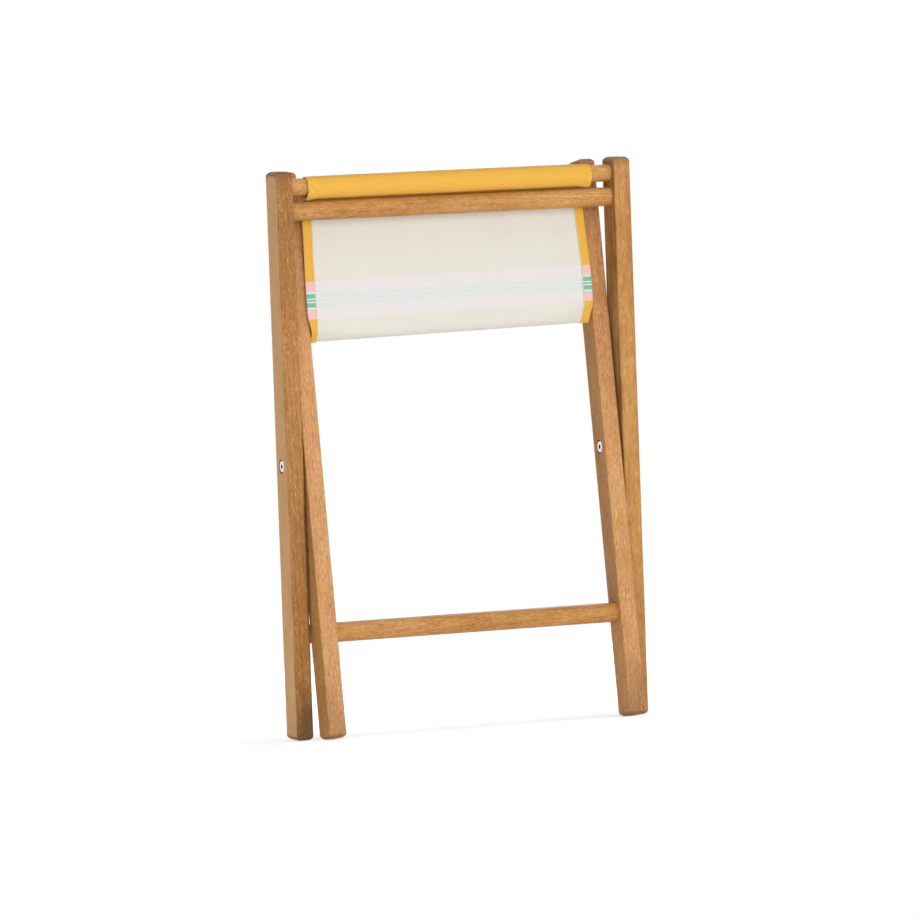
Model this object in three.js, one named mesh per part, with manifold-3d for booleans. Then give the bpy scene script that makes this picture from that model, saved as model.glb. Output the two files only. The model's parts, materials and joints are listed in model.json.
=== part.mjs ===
// Folding stool with a cloth seat, folded flat: two leg frames that cross on a pivot bolt at
// each side, and a sling that hangs as a loop between their top rails.
// Millimetres. X runs across the stool, Y from front to back, Z up.
// The origin lies on the floor under the middle of the folded stool.

import * as THREE from 'three';
import { mergeVertices } from 'three/addons/utils/BufferGeometryUtils.js';
import Module from 'manifold-3d';

const wasm = await Module();
wasm.setup();

// ---- Driving dimensions ----

// Legs
const overallWidth = 400;          // over the outer faces of the outer legs
const legWidth = 19;               // leg section, across the stool
const legDepth = 31;               // leg section, front to back
const pivotToTop = 306;            // pivot axis to the top end of each leg
const pivotToFoot = 286;           // pivot axis to the foot
const edgeRadius = 2;              // rounding of the long edges
const endRadius = 6.5;             // rounding of the leg ends
const legSpacing = 2;              // between an outer leg and the inner leg beside it

// Rails
const topRailDiameter = 18;
const secondRailDiameter = 20;
const bottomRailDiameter = 20;
const topRailDrop = 17;            // leg end down to the top rail's axis
const secondRailDrop = 25;         // top rail's axis down to the second rail's axis
const bottomRailRise = 110;        // foot up to the bottom rail's axis
const railSeatDepth = 12;          // blind bore in the leg
const railChamfer = 1;

// Pivot hardware
const headDiameter = 12.6;
const headHeight = 3;
const counterboreDiameter = 15;
const headRecess = 0.4;            // leg face down to the head's face
const screwDiameter = 5;
const sleeveNutDiameter = 8;
const sleeveNutEndWall = 2.2;      // thread bore stops this far below the hex socket's floor
const screwEngagement = 14;        // length of the shank inside the sleeve nut
const hexAcrossFlats = 4;
const hexDepth = 1.8;
const headEdgeChamfer = 0.5;
const washerDiameter = 17;

// Cloth seat
const clothThickness = 1;
const clothSideClearance = 1;      // cloth edge to inner leg
const clothToRail = 0.4;           // hanging cloth to the second rail in front of it
const sleeveBoreDiameter = 21.2;
const panelDrop = 128;             // top rail's axis down to the end of the flat panel
const openHalfAngle = degrees(34.5);   // each leg to the vertical when the stool stands open
const openSeatSlope = degrees(10);     // fall of each seat half from its rail when open
const foldPoleShare = 0.785;       // where the turning point of the fold lies in its bend

// Fits
const fitGap = 0.3;                // between any two pieces that seat on each other
const stopGap = 0.3;               // inner legs to the rail they close against

// Facets
const roundSegments = 36;
const cornerSegments = 6;

// ---- Derived dimensions ----

const topRailRadius = topRailDiameter / 2;
const secondRailRadius = secondRailDiameter / 2;
const bottomRailRadius = bottomRailDiameter / 2;
const topRailReach = pivotToTop - topRailDrop;
const secondRailReach = topRailReach - secondRailDrop;
const bottomRailReach = pivotToFoot - bottomRailRise;

const outerLegX = (overallWidth - legWidth) / 2;
const innerLegX = outerLegX - legWidth - legSpacing;
const outerInsideX = outerLegX - legWidth / 2;
const innerInsideX = innerLegX - legWidth / 2;
const legLength = pivotToTop + pivotToFoot;
const legCentreHeight = (pivotToTop - pivotToFoot) / 2;

// Folded, the inner legs lie against the outer frame's bottom rail.
const foldedAngle = Math.asin((legDepth / 2 + bottomRailRadius + stopGap) / bottomRailReach);
const foldedHalfAngle = foldedAngle / 2;
const pivotHeight = (legDepth / 2 - endRadius) * Math.sin(foldedHalfAngle)
  + (pivotToFoot - endRadius) * Math.cos(foldedHalfAngle) + endRadius;

// Cloth. The front half is worked out and the back half mirrors it. Points are Y and Z from the
// pivot axis, with the front half on the negative side of Y.
const clothWidth = 2 * (innerInsideX - clothSideClearance);
const foldedRail = railPoint(foldedHalfAngle);
const openRail = railPoint(openHalfAngle);
const sleeveBoreRadius = sleeveBoreDiameter / 2;
const sleeveRadius = sleeveBoreRadius + clothThickness;
const sleeveSag = sleeveBoreRadius - topRailRadius - fitGap;
const panelFrontY = -secondRailReach * Math.sin(foldedHalfAngle) + secondRailRadius + clothToRail;
const panelMiddleY = panelFrontY + clothThickness / 2;
const foldRadius = -panelMiddleY - fitGap / 2;

// Opening turns each half of the cloth about its rail until it slopes gently to the middle. The
// fold's turning point must then be as far from the middle plane as it is when folded, so that
// the two halves still meet: that gives the depth of the loop.
const seatTurn = degrees(90) - openSeatSlope;
const foldPoleY = panelMiddleY + foldRadius * (1 - foldPoleShare);
const foldPoleDrop = (foldPoleY - openRail.y - (foldPoleY - foldedRail.y) * Math.cos(seatTurn))
  / Math.sin(seatTurn);
const foldPoleZ = foldedRail.z - foldPoleDrop;
const foldStartZ = foldPoleZ + foldRadius * foldPoleShare;
const panelEndZ = foldedRail.z - panelDrop;

// ---- Helpers ----

function degrees(angle) {
  return angle * Math.PI / 180;
}

/** Place of the outer frame's top rail when the frame leans by an angle. */
function railPoint(lean) {
  return { y: -topRailReach * Math.sin(lean), z: topRailReach * Math.cos(lean) };
}

/** Turns a closed geometry into a solid that can be cut and joined. */
function toSolid(geometry) {
  const bare = geometry.clone();
  bare.deleteAttribute('normal');
  bare.deleteAttribute('uv');
  const merged = mergeVertices(bare, 1e-4);
  const corners = merged.index.array;
  const triangles = [];
  for (let i = 0; i < corners.length; i += 3) {
    const [a, b, c] = corners.slice(i, i + 3);
    if (a !== b && b !== c && c !== a) triangles.push(a, b, c);
  }
  return new wasm.Manifold(new wasm.Mesh({
    numProp: 3,
    vertProperties: Float32Array.from(merged.getAttribute('position').array),
    triVerts: Uint32Array.from(triangles),
  }));
}

/** Turns a solid back into a geometry. */
function toGeometry(solid) {
  const mesh = solid.getMesh();
  const geometry = new THREE.BufferGeometry();
  geometry.setAttribute('position', new THREE.BufferAttribute(mesh.vertProperties, 3));
  geometry.setIndex(new THREE.BufferAttribute(mesh.triVerts, 1));
  return geometry;
}

/** Cuts every cutter out of a body. */
function cut(body, cutters) {
  return toGeometry(cutters.reduce((solid, cutter) => solid.subtract(toSolid(cutter)), toSolid(body)));
}

/** Rectangle with rounded corners about a centre. */
function roundedRectangle(width, height, radius, centreY = 0) {
  const x = width / 2;
  const low = centreY - height / 2;
  const high = centreY + height / 2;
  const shape = new THREE.Shape();
  shape.absarc(x - radius, low + radius, radius, -Math.PI / 2, 0);
  shape.absarc(x - radius, high - radius, radius, 0, Math.PI / 2);
  shape.absarc(radius - x, high - radius, radius, Math.PI / 2, Math.PI);
  shape.absarc(radius - x, low + radius, radius, Math.PI, 3 * Math.PI / 2);
  return shape;
}

/** Extrudes a shape by a length, centred on its own plane; each of its arcs gets so many facets. */
function extrude(shape, length, curveSegments = cornerSegments) {
  const settings = { depth: length, bevelEnabled: false, curveSegments };
  return new THREE.ExtrudeGeometry(shape, settings).translate(0, 0, -length / 2);
}

/** Extrudes a shape drawn in Y and Z across the stool. */
function extrudeAcross(shape, length, curveSegments) {
  const across = new THREE.Matrix4().makeBasis(
    new THREE.Vector3(0, 1, 0), new THREE.Vector3(0, 0, 1), new THREE.Vector3(1, 0, 0));
  return extrude(shape, length, curveSegments).applyMatrix4(across);
}

/** Revolves a profile of [X, radius] points about the X axis. */
function revolveAcross(profile) {
  const points = profile.map(([x, radius]) => new THREE.Vector2(radius, x));
  return new THREE.LatheGeometry(points, roundSegments).rotateZ(-Math.PI / 2);
}

/** Cylinder along X from one X to another, at a height. */
function boreAcross(diameter, fromX, toX, z = 0) {
  return new THREE.CylinderGeometry(diameter / 2, diameter / 2, Math.abs(toX - fromX), roundSegments)
    .rotateZ(Math.PI / 2)
    .translate((fromX + toX) / 2, 0, z);
}

// ---- Pieces ----

/** Leg about its own centre line in X, with the pivot axis at the origin. */
function legBlank() {
  const section = roundedRectangle(legWidth, legDepth, edgeRadius);
  const side = roundedRectangle(legDepth, legLength, endRadius, legCentreHeight);
  const front = roundedRectangle(legWidth, legLength, endRadius, legCentreHeight);
  const bar = toSolid(extrude(section, legLength).translate(0, 0, legCentreHeight));
  const sideForm = toSolid(extrudeAcross(side, legWidth));
  const frontForm = toSolid(extrude(front, legDepth).rotateX(Math.PI / 2));
  return toGeometry(bar.intersect(sideForm).intersect(frontForm));
}

/**
 * Leg on one side of the stool, with blind rail bores in its inside face, the pivot bore, and a
 * counterbore for the bolt head in the face that shows.
 */
function leg(side, legX, rails, headFace) {
  const inside = side * (legX - legWidth / 2);
  const outside = side * (legX + legWidth / 2);
  const headSide = headFace === 'outside' ? outside : inside;
  const intoLeg = headFace === 'outside' ? -side : side;
  const counterboreDepth = headHeight + headRecess + fitGap;
  const railBores = rails.map(({ diameter, z }) =>
    boreAcross(diameter + 2 * fitGap, inside - side * fitGap, inside + side * railSeatDepth, z));
  return cut(legBlank().translate(side * legX, 0, 0), [
    ...railBores,
    boreAcross(sleeveNutDiameter + 2 * fitGap, inside - side * fitGap, outside + side * fitGap),
    boreAcross(counterboreDiameter, headSide - intoLeg * fitGap, headSide + intoLeg * counterboreDepth),
  ]);
}

/** Dowel rail between two legs, seated in their blind bores. */
function rail(diameter, insideX) {
  const halfLength = insideX + railSeatDepth - fitGap;
  const radius = diameter / 2;
  return revolveAcross([
    [-halfLength, 0],
    [-halfLength, radius - railChamfer],
    [railChamfer - halfLength, radius],
    [halfLength - railChamfer, radius],
    [halfLength, radius - railChamfer],
    [halfLength, 0],
  ]);
}

/** Six-sided socket cutter that opens towards positive X from a face. */
function hexSocket(faceX) {
  const cornerRadius = hexAcrossFlats / Math.sqrt(3);
  const length = hexDepth + fitGap;
  return new THREE.CylinderGeometry(cornerRadius, cornerRadius, length, 6)
    .rotateZ(Math.PI / 2)
    .translate(faceX - hexDepth + length / 2, 0, 0);
}

/** Round bolt head with a shank that runs from it towards negative X. */
function headedPin(faceX, shankRadius, shankEndX) {
  const headRadius = headDiameter / 2;
  const underHeadX = faceX - headHeight;
  return cut(revolveAcross([
    [shankEndX, 0],
    [shankEndX, shankRadius],
    [underHeadX, shankRadius],
    [underHeadX, headRadius],
    [faceX - headEdgeChamfer, headRadius],
    [faceX, headRadius - headEdgeChamfer],
    [faceX, 0],
  ]), [hexSocket(faceX)]);
}

const screwFaceX = outerLegX + legWidth / 2 - headRecess;
const sleeveNutFaceX = innerInsideX + headRecess;
const sleeveNutEndX = screwFaceX - headHeight - 2 * fitGap;
const screwEndX = sleeveNutEndX - screwEngagement;

/** Screw of the right-hand pivot, put in from the outer leg. */
function pivotScrew() {
  return headedPin(screwFaceX, screwDiameter / 2, screwEndX);
}

/** Sleeve nut of the right-hand pivot, put in from the inner leg; the screw runs in its bore. */
function pivotSleeveNut() {
  const facingOutwards = headedPin(-sleeveNutFaceX, sleeveNutDiameter / 2, -sleeveNutEndX);
  const boreEndX = sleeveNutFaceX + hexDepth + sleeveNutEndWall;
  return cut(facingOutwards.rotateZ(Math.PI), [
    boreAcross(screwDiameter + 2 * fitGap, boreEndX, sleeveNutEndX + fitGap),
  ]);
}

/** Washer between the two legs of the right-hand pivot. */
function pivotWasher() {
  const middleX = outerLegX - (legWidth + legSpacing) / 2;
  const halfThickness = legSpacing / 2 - fitGap;
  const boreRadius = sleeveNutDiameter / 2 + fitGap;
  return revolveAcross([
    [middleX - halfThickness, boreRadius],
    [middleX - halfThickness, washerDiameter / 2],
    [middleX + halfThickness, washerDiameter / 2],
    [middleX + halfThickness, boreRadius],
    [middleX - halfThickness, boreRadius],
  ]);
}

/**
 * Sleeve of the front seat half round the top rail, with the tab that runs from it down behind
 * the second rail. It hangs on the rail, so its centre lies below the rail's.
 */
function seatSleeve() {
  const centre = { y: foldedRail.y, z: foldedRail.z - sleeveSag };
  const tabEnd = { y: panelFrontY, z: foldedRail.z - secondRailDrop };
  const reach = Math.hypot(tabEnd.y - centre.y, tabEnd.z - centre.z);
  // The tab's front face is a tangent to the sleeve's bore, through the tab's end.
  const tangentAngle = Math.atan2(tabEnd.z - centre.z, tabEnd.y - centre.y)
    + Math.acos(sleeveBoreRadius / reach);
  const frontAngle = tangentAngle - Math.acos(sleeveBoreRadius / sleeveRadius);
  const shape = new THREE.Shape();
  shape.moveTo(tabEnd.y, tabEnd.z);
  shape.lineTo(tabEnd.y + clothThickness, tabEnd.z);
  shape.absarc(centre.y, centre.z, sleeveRadius, tangentAngle, frontAngle + 2 * Math.PI);
  const bore = new THREE.Path();
  bore.absarc(centre.y, centre.z, sleeveBoreRadius, 0, 2 * Math.PI, true);
  shape.holes.push(bore);
  return extrudeAcross(shape, clothWidth, roundSegments);
}

/** Flat panel of the front seat half, hanging from the sleeve's tab. */
function seatPanel() {
  const topZ = foldedRail.z - secondRailDrop - fitGap;
  return new THREE.BoxGeometry(clothWidth, clothThickness, topZ - panelEndZ)
    .translate(0, panelMiddleY, (topZ + panelEndZ) / 2);
}

/** Front half of the loop's bottom: the cloth below the panel, and its bend to the middle. */
function seatFold() {
  const outerRadius = foldRadius + clothThickness / 2;
  const innerRadius = foldRadius - clothThickness / 2;
  const bendY = panelMiddleY + foldRadius;
  const topZ = panelEndZ - fitGap;
  const shape = new THREE.Shape();
  shape.moveTo(bendY - innerRadius, topZ);
  shape.lineTo(bendY - outerRadius, topZ);
  shape.absarc(bendY, foldStartZ, outerRadius, Math.PI, 3 * Math.PI / 2);
  shape.absarc(bendY, foldStartZ, innerRadius, 3 * Math.PI / 2, Math.PI, true);
  return extrudeAcross(shape, clothWidth);
}

// ---- Assembly ----

const wood = { color: 0xb9854f, roughness: 0.6, metalness: 0 };
const steel = { color: 0xd5d7d8, roughness: 0.3, metalness: 1 };
const cloth = { color: 0xe9b548, roughness: 0.9, metalness: 0 };

/** Adds a piece to a group as a named mesh with a material of its own. */
function place(group, name, geometry, finish) {
  const mesh = new THREE.Mesh(geometry, new THREE.MeshStandardMaterial(finish));
  mesh.name = name;
  group.add(mesh);
}

/** Empty group on the pivot axis, leaning by an angle. */
function pivotGroup(lean = 0) {
  const group = new THREE.Group();
  group.position.z = pivotHeight;
  group.rotation.x = lean;
  return group;
}

const outerRails = [
  { name: 'outer_top_rail', diameter: topRailDiameter, z: topRailReach },
  { name: 'outer_second_rail', diameter: secondRailDiameter, z: secondRailReach },
  { name: 'outer_bottom_rail', diameter: bottomRailDiameter, z: -bottomRailReach },
];
const innerRails = [
  { name: 'inner_top_rail', diameter: topRailDiameter, z: topRailReach },
  { name: 'inner_bottom_rail', diameter: bottomRailDiameter, z: -bottomRailReach },
];
const sides = [{ name: 'left', side: -1 }, { name: 'right', side: 1 }];

/** Leg frame: two legs and the rails between them. */
function frame(prefix, lean, legX, rails, headFace) {
  const group = pivotGroup(lean);
  for (const { name, side } of sides) {
    place(group, `${prefix}_leg_${name}`, leg(side, legX, rails, headFace), wood);
  }
  for (const { name, diameter, z } of rails) {
    place(group, name, rail(diameter, legX - legWidth / 2).translate(0, 0, z), wood);
  }
  return group;
}

/** Bolt of each side: screw, sleeve nut and the washer between the legs. */
function pivots() {
  const group = pivotGroup();
  for (const { name, side } of sides) {
    const turn = side > 0 ? 0 : Math.PI;
    place(group, `pivot_screw_${name}`, pivotScrew().rotateZ(turn), steel);
    place(group, `pivot_sleeve_nut_${name}`, pivotSleeveNut().rotateZ(turn), steel);
    place(group, `pivot_washer_${name}`, pivotWasher().rotateZ(turn), steel);
  }
  return group;
}

/** Both halves of the seat; the back one is the front one turned about the vertical. */
function seat() {
  const group = pivotGroup();
  for (const [name, turn] of [['front', 0], ['back', Math.PI]]) {
    place(group, `seat_sleeve_${name}`, seatSleeve().rotateZ(turn), cloth);
    place(group, `seat_panel_${name}`, seatPanel().rotateZ(turn), cloth);
    place(group, `seat_fold_${name}`, seatFold().rotateZ(turn), cloth);
  }
  return group;
}

const stool = new THREE.Group();
stool.add(
  frame('outer', foldedHalfAngle, outerLegX, outerRails, 'outside'),
  frame('inner', -foldedHalfAngle, innerLegX, innerRails, 'inside'),
  pivots(),
  seat(),
);

export default stool;
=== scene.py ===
"""Folding stool with a cloth seat: the finishes of its wood and metal, and its sewn canvas sling."""

from __future__ import annotations

import json
import logging
import math
from collections.abc import Callable, Sequence
from dataclasses import dataclass, field
from enum import Enum
from typing import Any

import bmesh
import bpy
import numpy as np
from mathutils import Matrix, Vector, noise

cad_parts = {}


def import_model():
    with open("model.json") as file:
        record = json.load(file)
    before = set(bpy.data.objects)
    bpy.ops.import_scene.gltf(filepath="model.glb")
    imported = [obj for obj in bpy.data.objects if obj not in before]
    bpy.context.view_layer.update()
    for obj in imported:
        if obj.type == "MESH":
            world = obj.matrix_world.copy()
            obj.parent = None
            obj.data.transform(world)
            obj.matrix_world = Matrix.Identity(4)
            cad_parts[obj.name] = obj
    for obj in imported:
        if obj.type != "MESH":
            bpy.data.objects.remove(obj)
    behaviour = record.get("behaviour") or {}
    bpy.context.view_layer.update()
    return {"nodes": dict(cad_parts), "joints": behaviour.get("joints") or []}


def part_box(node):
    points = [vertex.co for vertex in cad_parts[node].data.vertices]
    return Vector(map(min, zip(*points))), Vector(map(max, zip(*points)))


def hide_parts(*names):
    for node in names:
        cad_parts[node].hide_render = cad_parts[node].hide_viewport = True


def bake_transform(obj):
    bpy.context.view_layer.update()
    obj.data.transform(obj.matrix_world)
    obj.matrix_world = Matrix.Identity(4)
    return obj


LOGGER = logging.getLogger("folding_stool")
MM = 0.001
Pair = tuple[float, float]
Triple = tuple[float, float, float]
Colour = Triple
WHITE: Colour = (1.0, 1.0, 1.0)


def srgb(red: int, green: int, blue: int) -> Colour:
    """Turns a display colour of 0 to 255 into linear light.

    Args:
        red: Red channel.
        green: Green channel.
        blue: Blue channel.

    Returns:
        The three channels in linear light.
    """

    def channel(value: int) -> float:
        """One channel in linear light."""
        share = value / 255
        return share / 12.92 if share <= 0.04045 else ((share + 0.055) / 1.055) ** 2.4

    return channel(red), channel(green), channel(blue)


# Shader graphs


def math_method(operation: str, reflected: bool = False) -> Callable[..., Signal]:
    """Makes a method of a signal that adds a Math node.

    Args:
        operation: Operation of the node.
        reflected: Whether the signal comes last.

    Returns:
        The method.
    """

    def method(self: Signal, *others: Any) -> Signal:
        """Result of the operation."""
        values = (*others, self) if reflected else (self, *others)
        return self.graph.math(operation, *values)

    return method


class Signal:
    """Output of a shader node that takes part in plain arithmetic."""

    def __init__(self, graph: ShaderGraph, socket: bpy.types.NodeSocket) -> None:
        """Wraps an output socket of a graph."""
        self.graph = graph
        self.socket = socket

    __add__, __radd__ = math_method("ADD"), math_method("ADD", reflected=True)
    __sub__, __rsub__ = math_method("SUBTRACT"), math_method("SUBTRACT", reflected=True)
    __mul__, __rmul__ = math_method("MULTIPLY"), math_method("MULTIPLY", reflected=True)
    __pow__, __abs__, sine = math_method("POWER"), math_method("ABSOLUTE"), math_method("SINE")

    def rise(self, low: float, high: float) -> Signal:
        """Smooth step from 0 at low to 1 at high."""
        values = {"Value": self, "From Min": low, "From Max": high}
        return self.graph.node("ShaderNodeMapRange", values, {"interpolation_type": "SMOOTHSTEP"})

    def fall(self, low: float, high: float) -> Signal:
        """Smooth step from 1 at low to 0 at high."""
        return 1 - self.rise(low, high)

    def band(self, centre: float, width: float, softness: float) -> Signal:
        """Stripe of a width round a centre, with soft edges: 1 inside and 0 outside."""
        return abs(self - centre).fall(width / 2 - softness / 2, width / 2 + softness / 2)


class ShaderGraph:
    """Node tree of a material or of a world."""

    def __init__(self, owner: bpy.types.Material | bpy.types.World) -> None:
        """Empties the node tree of a new material or world."""
        self.owner = owner
        owner.use_nodes = True
        self.tree = owner.node_tree
        self.tree.nodes.clear()

    def node(
        self,
        kind: str,
        values: dict[str | int, Any] | None = None,
        settings: dict[str, Any] | None = None,
        output: str | int = 0,
    ) -> Signal:
        """Adds a node.

        Args:
            kind: Type of the node.
            values: Numbers, colours or signals for its input sockets, by name or place.
            settings: Properties of the node, set first.
            output: Output socket to return, by name or place.

        Returns:
            The signal of that output.
        """
        node = self.tree.nodes.new(kind)
        for key, value in (settings or {}).items():
            setattr(node, key, value)
        for key, value in (values or {}).items():
            self.feed(node.inputs[key], value)
        return Signal(self, node.outputs[output])

    def feed(self, socket: bpy.types.NodeSocket, value: Any) -> None:
        """Sets or links an input socket.

        Args:
            socket: Input socket.
            value: Signal to link, or a plain value.
        """
        if isinstance(value, Signal):
            self.tree.links.new(value.socket, socket)
        elif socket.type == "RGBA" and len(value) == 3:
            socket.default_value = (*value, 1.0)
        else:
            socket.default_value = value

    def math(self, operation: str, *values: Any) -> Signal:
        """Result of an operation of the Math node on values."""
        return self.node("ShaderNodeMath", dict(enumerate(values)), {"operation": operation})

    def mix(self, factor: Any, first: Any, second: Any, blend: str = "MIX") -> Signal:
        """Mixes two colours.

        Args:
            factor: Share of the second colour.
            first: Colour at factor 0.
            second: Colour at factor 1.
            blend: Blend type of the node.

        Returns:
            The mixed colour.
        """
        node = self.tree.nodes.new("ShaderNodeMix")
        node.data_type = "RGBA"
        node.blend_type = blend
        sockets = {socket.identifier: socket for socket in node.inputs}
        for name, value in (("Factor_Float", factor), ("A_Color", first), ("B_Color", second)):
            self.feed(sockets[name], value)
        outputs = {socket.identifier: socket for socket in node.outputs}
        return Signal(self, outputs["Result_Color"])

    def ramp(self, factor: Signal, stops: Sequence[tuple[float, Colour]]) -> Signal:
        """Colour ramp.

        Args:
            factor: Place on the ramp, from 0 to 1.
            stops: Places and colours, in order.

        Returns:
            The colour.
        """
        node = self.tree.nodes.new("ShaderNodeValToRGB")
        elements = node.color_ramp.elements
        while len(elements) < len(stops):
            elements.new(0.5)
        for element, (place, colour) in zip(elements, stops):
            element.position = place
            element.color = (*colour, 1.0)
        self.feed(node.inputs[0], factor)
        return Signal(self, node.outputs[0])

    def noise(self, vector: Signal, scale: float = 1.0, detail: float = 2.0, rough: float = 0.5) -> Signal:
        """Noise round 0.5, of a scale, a number of finer octaves and their strength."""
        values = {"Vector": vector, "Scale": scale, "Detail": detail, "Roughness": rough}
        return self.node("ShaderNodeTexNoise", values)

    def mapping(self, vector: Signal, **values: Sequence[float]) -> Signal:
        """Vector with a location, rotation or scale applied."""
        sockets = {key.capitalize(): value for key, value in values.items()}
        return self.node("ShaderNodeMapping", {"Vector": vector, **sockets})

    def split(self, vector: Signal) -> tuple[Signal, Signal, Signal]:
        """X, Y and Z of a vector."""
        first = self.node("ShaderNodeSeparateXYZ", {0: vector})
        return tuple(Signal(self, socket) for socket in first.socket.node.outputs)

    def join(self, x: Any, y: Any, z: Any) -> Signal:
        """Vector of three numbers."""
        return self.node("ShaderNodeCombineXYZ", {0: x, 1: y, 2: z})

    def coordinate(self, output: str) -> Signal:
        """Texture coordinate of a kind, such as Object or Normal."""
        return self.node("ShaderNodeTexCoord", output=output)

    def finish(self, sockets: dict[str, Any], bump: Signal, height: float) -> bpy.types.Material:
        """Ends a material with a principled shader.

        Args:
            sockets: Values or signals of the shader's sockets, by name.
            bump: Height pattern of the surface.
            height: Depth of that pattern in metres.

        Returns:
            The finished material.
        """
        relief = {"Height": bump, "Distance": height, "Strength": 1.0}
        normal = self.node("ShaderNodeBump", relief)
        self.end(self.node("ShaderNodeBsdfPrincipled", {**sockets, "Normal": normal}))
        return self.owner

    def choose(self, factor: Signal, first: Signal, second: Signal) -> Signal:
        """Shader between the first one at factor 0 and the second one at factor 1."""
        return self.node("ShaderNodeMixShader", {0: factor, 1: first, 2: second})

    def end(self, shader: Signal, kind: str = "ShaderNodeOutputMaterial") -> None:
        """Links a shader to the surface of an output node."""
        self.tree.links.new(shader.socket, self.tree.nodes.new(kind).inputs["Surface"])


# Finishes


class Grain(Enum):
    """Way that the wood's fibres run in a piece."""

    ALONG_LEG = "along the leg"
    ALONG_RAIL = "along the rail"


@dataclass(frozen=True)
class SideWood:
    """Band of colour along one side of a leg: paler wood with painted light, or painted shade.

    Attributes:
        start: X where it starts.
        full: X where it is full.
        colour: Its colour.
        end: Place along the leg where it ends.
    """

    start: float
    full: float
    colour: Colour
    end: float = 1.0


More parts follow.
